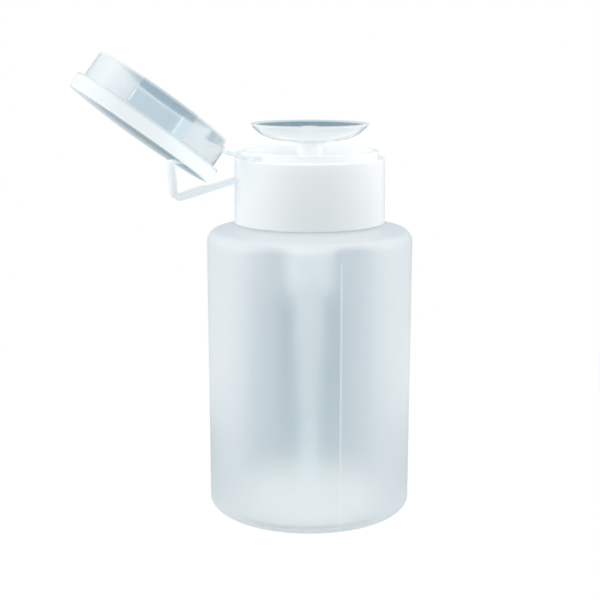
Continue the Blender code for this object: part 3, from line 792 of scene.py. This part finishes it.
# a shallow window panel in the skirt on the -Y and the +Y side
for y_low, y_high in ((-22.0, -14.0), (14.0, 22.0)):
    panel = lathe("panel", [(20.4, STEP - 0.05), (20.4, MOUTH - 0.5),
                            (19.72, MOUTH - 0.5), (19.72, STEP - 0.05)], 160,
                  cyclic=True)
    zone = box("zone", (-PANEL_HALF, y_low, 95.0), (PANEL_HALF, y_high, 110.0))
    zone.data.transform(Matrix.Rotation(math.radians(PANEL_TURN), 4, "Z"))
    cut(panel, zone, "INTERSECT")
    cut(lid, panel)
smooth(lid, 28)
# swing the shut lid open about the hinge
hinge = Matrix.Translation((HINGE_X * MM, 0, HINGE_Z * MM))
lid.data.transform(hinge @ Matrix.Rotation(-math.radians(OPEN), 4, "Y")
                   @ hinge.inverted())
paint(lid, LID_PLASTIC, "natural_lid", "lid", "flip_lid")


# -------------------------------------------------------------- hinge straps
def swung_open(x, z):
    """Where a point of the shut lid is with the lid open."""
    a = math.radians(-OPEN)
    x, z = x - HINGE_X, z - HINGE_Z
    return (HINGE_X + (x * math.cos(a) + z * math.sin(a)),
            HINGE_Z + (-x * math.sin(a) + z * math.cos(a)))


def line_between(points, count):
    """Points along a smooth curve (Catmull-Rom) through the given ones."""
    out = []
    ends = [points[0], *points, points[-1]]
    for a, b, c, d in zip(ends, ends[1:], ends[2:], ends[3:]):
        for k in range(count):
            t = k / count
            out.append(tuple(
                0.5 * (2 * b[n] + (c[n] - a[n]) * t
                       + (2 * a[n] - 5 * b[n] + 4 * c[n] - d[n]) * t * t
                       + (-a[n] + 3 * b[n] - 3 * c[n] + d[n]) * t ** 3)
                for n in (0, 1)))
    out.append(points[-1])
    return out


HINGE_STRAP_W, HINGE_STRAP_Y = 3.9, 5.35
HINGE_ROUTE = [(-19.95, 97.97), (-20.8, 98.2), (HINGE_X, HINGE_Z), (-23.3, 98.98),
               swung_open(-LID_R + 0.45, MOUTH + 2.3)]     # (x, z), collar to lid
for side, sign in (("left", -1), ("right", 1)):
    route = line_between(HINGE_ROUTE, 6)
    # half thickness, thinnest at the hinge line
    half = [0.26 + 0.24 * min(1.0, math.hypot(x - HINGE_X, z - HINGE_Z) / 1.3)
            for x, z in route]
    strap = strip("hinge_strap_" + side, route, HINGE_STRAP_W, half, half)
    strap.data.transform(Matrix.Translation((0, sign * HINGE_STRAP_Y * MM, 0)))
    smooth(strap, 40)
    paint(strap, STRAP_PLASTIC, "strap_plastic")
    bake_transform(strap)
    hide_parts("hinge_tab_" + side, "lid_tab_" + side)


# ---------------------------------------------------------------- snap strap
def along(a, b, stations):
    return [(a[0] + (b[0] - a[0]) * t, a[1] + (b[1] - a[1]) * t) for t in stations]


def shaped(stations, table):
    """Values at stations from (station, value) pairs, eased between them."""
    out = []
    for t in stations:
        for (t0, v0), (t1, v1) in zip(table, table[1:]):
            if t <= t1:
                k = min(1.0, max(0.0, (t - t0) / (t1 - t0)))
                out.append(v0 + (v1 - v0) * (3 * k * k - 2 * k ** 3))
                break
    return out


SNAP_W, SNAP_GROOVE = 5.4, 0.10
# reach of the arm's section from its line, outside and inside the elbow
ARM_OUTER, ARM_INNER = 0.85, 0.70
BEND_R = 1.2
BEND_INNER = ARM_INNER - 0.16

# stations are fractions of the way from root to elbow
stations = [-0.012, 0.0, 0.02, 0.05, 0.09, 0.14, 0.2, 0.27, 0.34, 0.41, 0.44, 0.47,
            0.50, 0.53, 0.6, 0.68, 0.76, 0.83, 0.865]
path = along(ROOT, ELBOW, stations)
left = shaped(stations, [(-0.012, 0.30), (0.0, 0.30), (0.09, ARM_OUTER),
                         (1.0, ARM_OUTER)])
right = shaped(stations, [(-0.012, 0.27), (0.42, 0.27), (0.53, ARM_INNER),
                          (0.70, ARM_INNER), (0.83, ARM_INNER - 0.14),
                          (1.0, BEND_INNER)])
# round the elbow into the start of the short leg
to_elbow = (Vector(ELBOW) - Vector(ROOT)).normalized()
to_tip = (Vector(TIP) - Vector(ELBOW)).normalized()
elbow_angle = (-to_elbow).angle(to_tip)
reach = BEND_R / math.tan(elbow_angle / 2)
centre = (Vector(ELBOW)
          + (to_tip - to_elbow).normalized() * (BEND_R / math.sin(elbow_angle / 2)))
first = Vector(ELBOW) - to_elbow * reach - centre
for i in range(13):
    path.append(turned(first, centre, -(math.pi - elbow_angle) * i / 12))
    left.append(ARM_OUTER)
    right.append(BEND_INNER - 0.24 * min(1.0, i / 4))
for extra in (0.12, 0.25):
    path.append(tuple(Vector(ELBOW) + to_tip * (reach + extra)))
    left.append(ARM_OUTER - 0.02)
    right.append(ARM_INNER - 0.44)
arm = strip("snap_strap_arm", path, SNAP_W, left, right, SNAP_GROOVE)
smooth(arm)
paint(arm, STRAP_PLASTIC, "strap_plastic", "snap_arm", "snap_strap_long")

# stations are fractions of the way from tip to elbow
stations = [-0.02, 0.01, 0.04, 0.08, 0.13, 0.2, 0.3, 0.4, 0.5, 0.6, 0.7, 0.78, 0.86]
leg = strip("snap_strap_leg", along(TIP, ELBOW, stations), SNAP_W,
            shaped(stations, [(-0.02, 0.42), (0.04, 0.36), (0.13, 0.52), (0.6, 0.60),
                              (0.86, 0.60)]),
            shaped(stations, [(-0.02, 0.42), (0.04, 0.36), (0.13, 0.80), (0.6, 0.80),
                              (0.86, 0.72)]), SNAP_GROOVE)
smooth(leg)
paint(leg, STRAP_PLASTIC, "strap_plastic", "snap_leg", "snap_strap_short")

# ------------------------------------------------------------------- plunger
DISH_RIM_Z, DISH_BOTTOM_Z = 106.15, 101.7
DISH_R, DISH_FLAT_R, DISH_WALL = 16.06, 7.5, 0.9
rise, run = DISH_RIM_Z - DISH_BOTTOM_Z, DISH_R - DISH_FLAT_R
outer_r = (run * run + rise * rise) / (2 * rise)       # arc from flat bottom to rim
inner_r = outer_r - DISH_WALL
arc_z = DISH_BOTTOM_Z + outer_r
outer_sweep = math.degrees(math.asin(run / outer_r))
inner_sweep = math.degrees(math.acos((outer_r - rise) / inner_r))
dish_floor = DISH_BOTTOM_Z + DISH_WALL
dish_profile = [(15.98, DISH_RIM_Z - 0.12)]
dish_profile += arc(DISH_FLAT_R, arc_z, outer_r, -90.0 + outer_sweep, -90.0, 14)[1:]
dish_profile += rounded([
    (7.0, DISH_BOTTOM_Z, 0), (3.95, DISH_BOTTOM_Z, 0.15), (3.95, 100.7, 0.2),
    (3.5, 100.7, 0.1), (3.5, 101.9, 0.1), (2.2, 101.9, 0.1), (2.2, dish_floor, 0.1),
    (7.0, dish_floor, 0)], 3)
dish_profile += arc(DISH_FLAT_R, arc_z, inner_r, -90.0, -90.0 + inner_sweep, 14)
dish_profile += [(dish_profile[-1][0] + 0.12, DISH_RIM_Z), (15.85, DISH_RIM_Z)]
dish = lathe("press_dish", dish_profile, 160, cyclic=True)
smooth(dish, 35)
paint(dish, DISH_PLASTIC, "clear_dish", "plunger", "dish")

POST = [(0.0, 105.36, 0), (2.8, 105.26, 0.5), (2.8, 102.75, 0.1), (2.1, 102.75, 0.1),
        (2.1, 104.96, 0.2), (0.0, 104.98, 0)]
post = lathe("outlet_post_cap", rounded(POST), 64)
for half_x, half_y in ((4.0, 0.5), (0.5, 4.0)):        # two crossed slots
    cut(post, box("port", (-half_x, -half_y, 103.3), (half_x, half_y, 103.9)))
smooth(post)
paint(post, STEM_WHITE, "stem_white", "plunger", "outlet_post")

# ------------------------------------------------ stem, guide and pump housing
STEM = [(1.95, 102.9, 0.2), (1.95, 101.7, 0.1), (3.3, 101.7, 0.2), (3.3, 84.6, 0.2),
        (1.75, 84.6, 0.1), (1.75, 101.0, 0.2), (0.7, 101.8, 0.1), (0.7, 102.9, 0.1)]
GUIDE = [(6.7, 95.4, 0.3), (6.7, 94.45, 0.1), (4.9, 94.45, 0.1), (4.9, 90.5, 0.2),
         (3.55, 90.5, 0.2), (3.55, 95.4, 0.25)]
HOUSING = [
    (16.6, 94.1, 0.2), (16.6, 93.1, 0.2), (6.3, 93.1, 0.3), (6.3, 59.6, 1.0),
    (3.95, 59.6, 0.5), (3.95, 41.5, 0.5), (3.15, 41.5, 0.3), (3.15, 27.7, 0.3),
    (2.6, 27.7, 0.1), (2.6, 40.6, 0.1), (1.4, 40.6, 0.1), (1.4, 41.6, 0.0),
    (2.95, 43.2, 0.1), (2.95, 60.9, 0.3), (5.1, 60.9, 0.2), (5.1, 94.1, 0.2)]
for name, outline, material, slot, body, node in (
        ("plunger_stem", STEM, STEM_WHITE, "stem_white", "plunger", "stem"),
        ("stem_guide_cap", GUIDE, COLLAR_WHITE, "white_collar", "pump_engine",
         "stem_guide"),
        ("pump_housing_shell", HOUSING, PUMP_WHITE, "pump_white", "pump_engine",
         "pump_housing")):
    part = lathe(name, rounded(outline, cyclic=True), cyclic=True)
    smooth(part)
    paint(part, material, slot, body, node)

# ------------------------------------------------------------------ dip tube
TUBE = [(2.4, 40.3, 0.1), (2.4, 3.6, 0.1), (1.7, 3.6, 0.1), (1.7, 40.3, 0.1)]
tube = lathe("dip_tube_straw", rounded(TUBE, 3, cyclic=True), 64, cyclic=True)
# the lower end is cut off at a slant
heel = box("heel", (-6, -6, -9), (6, 6, 0))
heel.data.transform(Matrix.Translation((0, 0, 5.0 * MM))
                    @ Matrix.Rotation(math.radians(28), 4, "X"))
cut(tube, heel)
smooth(tube)
paint(tube, TUBE_PLASTIC, "tube", "pump_engine", "dip_tube")

# -------------------------------------------------------------------- spring
COIL_TURNS, COIL_STEPS = 7, 32           # steps per turn
COIL_R, WIRE_R = 4.1, 0.38
COIL_LOW, COIL_HIGH = 61.75, 82.7
coil = []
for i in range(COIL_TURNS * COIL_STEPS + 1):
    t = i / (COIL_TURNS * COIL_STEPS)
    eased = t - 0.055 * math.sin(2 * math.pi * t)      # closer turns at the ends
    angle = 2 * math.pi * i / COIL_STEPS
    coil.append((COIL_R * math.cos(angle), COIL_R * math.sin(angle),
                 COIL_LOW + (COIL_HIGH - COIL_LOW) * eased))
spring = sweep("return_spring_coil", coil, WIRE_R, sides=10)
smooth(spring, 60)
paint(spring, STEEL, "spring_steel", "pump_engine", "return_spring")
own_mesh(spring)

# ---------------------------------------------------- pieces kept from the CAD
for node, material in (("piston", SEAL_GREY), ("spring_cup", STEM_WHITE),
                       ("neck_gasket", SEAL_GREY), ("ball_retainer", PUMP_WHITE),
                       ("inlet_ball", GLASS), ("outlet_ball", GLASS)):
    mesh = NODES[node].data
    mesh.materials.clear()
    mesh.materials.append(material)
    shade(mesh, 35)


# --------------------------------------------------------------------- floor
def floor_material():
    """Nearly white to the camera; other rays get the light set by the FLOOR_ tones."""
    m = Material("pale_floor")
    pos = m.xyz()
    distance = m.axis_distance(pos)
    across = m.calc("ABSOLUTE", m.add(m.mul(pos[0], RIGHT.x), m.mul(pos[1], RIGHT.y)))
    seen = m.node("BsdfDiffuse", {"Color": m.mix_colour(
        m.noise(30.0), (0.955, 0.957, 0.96), (0.975, 0.975, 0.975))})
    to_camera = m.mix(m.remap(distance, (0.04, 0.22), to=(0.80, 1.0)), seen,
                      m.glow((1, 1, 1), strength=1.0))
    slant = m.calc("DIVIDE", across, m.calc("MAXIMUM", distance, 0.001))
    sideways = m.mul(m.rise(slant, 0.38, 0.66), m.rise(distance, 0.07, 0.14))
    tone = m.mix_colour(m.rise(distance, 0.08, 0.22), FLOOR_MID, FLOOR_FAR)
    tone = m.mix_colour(sideways, tone, FLOOR_SIDE)
    tone = m.mix_colour(m.fall(distance, 0.0225, 0.029), tone, FLOOR_NEAR)
    return m.done(m.mix(m.node("LightPath").outputs["Is Camera Ray"],
                        m.glow(tone, strength=1.0), to_camera))


bm = bmesh.new()
bmesh.ops.create_grid(bm, x_segments=2, y_segments=2, size=6.0)
floor = mesh_object("floor", bm, recalc=False)
floor.location = (0, 0, -0.00005)
floor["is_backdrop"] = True
floor.data.materials.append(floor_material())

# --------------------------------------------------------------------- world
# (how far a direction points sideways, colour)
SKY_STOPS = ((0.0, (0.36, 0.46, 0.53)), (0.35, (0.42, 0.53, 0.60)),
             (0.62, (0.98, 1.02, 1.04)), (0.85, (1.35, 1.37, 1.38)))
SKY_BEHIND_CAMERA = (0.85, 0.87, 0.855)
SKY_ABOVE = (1.15, 1.16, 1.16)

world = bpy.data.worlds.new("studio")
bpy.context.scene.world = world
world.use_nodes = True
sky = Graph(world.node_tree, "OutputWorld")


def sky_dot(vector):
    """How far the direction looked in points along a vector."""
    return sky.node("VectorMath", {0: sky.coord.outputs["Generated"], 1: vector},
                    operation="DOT_PRODUCT").outputs["Value"]


sideways = sky.node("Math", {0: sky_dot(tuple(RIGHT)), 1: 0.0}, operation="ABSOLUTE")
ramp = sky.node("ValToRGB", {0: sideways})
ramp.color_ramp.interpolation = "EASE"
elements = ramp.color_ramp.elements
elements[1].position = SKY_STOPS[-1][0]
for position, _ in SKY_STOPS[1:-1]:
    elements.new(position)
for element, (_, colour) in zip(elements, SKY_STOPS):
    element.color = (*colour, 1)
behind = sky.rise(sky_dot(tuple(AWAY)), -0.1, -0.8)
level = sky.mix_colour(behind, ramp, SKY_BEHIND_CAMERA)
above = sky.rise(sky_dot((0, 0, 1)), 0.35, 0.85)
tone = sky.mix_colour(above, level, SKY_ABOVE)
# the camera itself sees plain white
sky.done(sky.mix(sky.node("LightPath").outputs["Is Camera Ray"],
                 sky.node("Background", {"Color": tone, "Strength": 1.0}),
                 sky.node("Background", {"Color": (1, 1, 1), "Strength": 1.0})))


# -------------------------------------------------------------------- lights
def softbox(name, right, away, height, aim_z, size, power):
    """A rectangular light placed in the camera's level directions (metres, watts)."""
    data = bpy.data.lights.new(name, "AREA")
    data.shape = "RECTANGLE"
    data.size, data.size_y = size
    data.energy = power
    obj = link(bpy.data.objects.new(name, data))
    place = RIGHT * right + AWAY * away + Vector((0, 0, height))
    obj.location = place
    obj.rotation_mode = "QUATERNION"
    obj.rotation_quaternion = (Vector((0, 0, aim_z)) - place).to_track_quat("-Z", "Y")


softbox("key_left", right=-0.55, away=-0.15, height=0.30, aim_z=0.06, size=(0.5, 0.6),
        power=0.62)
softbox("fill_right", right=0.55, away=0.05, height=0.26, aim_z=0.06, size=(0.4, 0.6),
        power=0.20)
softbox("top", right=0.0, away=0.1, height=0.75, aim_z=0.05, size=(0.7, 0.7),
        power=0.20)

# -------------------------------------------------------------------- camera
lens = bpy.data.cameras.new("camera")
lens.sensor_width = 36.0
lens.lens = 72.95
lens.shift_y = 0.0245
lens.clip_start = 0.01
lens.clip_end = 50.0
camera = link(bpy.data.objects.new("camera", lens))
camera.location = (-0.09578, -0.31434, 0.12560)
camera.rotation_euler = (math.radians(77.654), 0.0, -YAW)

scene = bpy.context.scene
scene.camera = camera
scene.view_settings.view_transform = "Standard"
scene.view_settings.look = "None"
scene.cycles.max_bounces = 16
scene.cycles.transparent_max_bounces = 24
scene.cycles.transmission_bounces = 14
scene.cycles.diffuse_bounces = 5
scene.cycles.sample_clamp_indirect = 6.0

low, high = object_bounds()
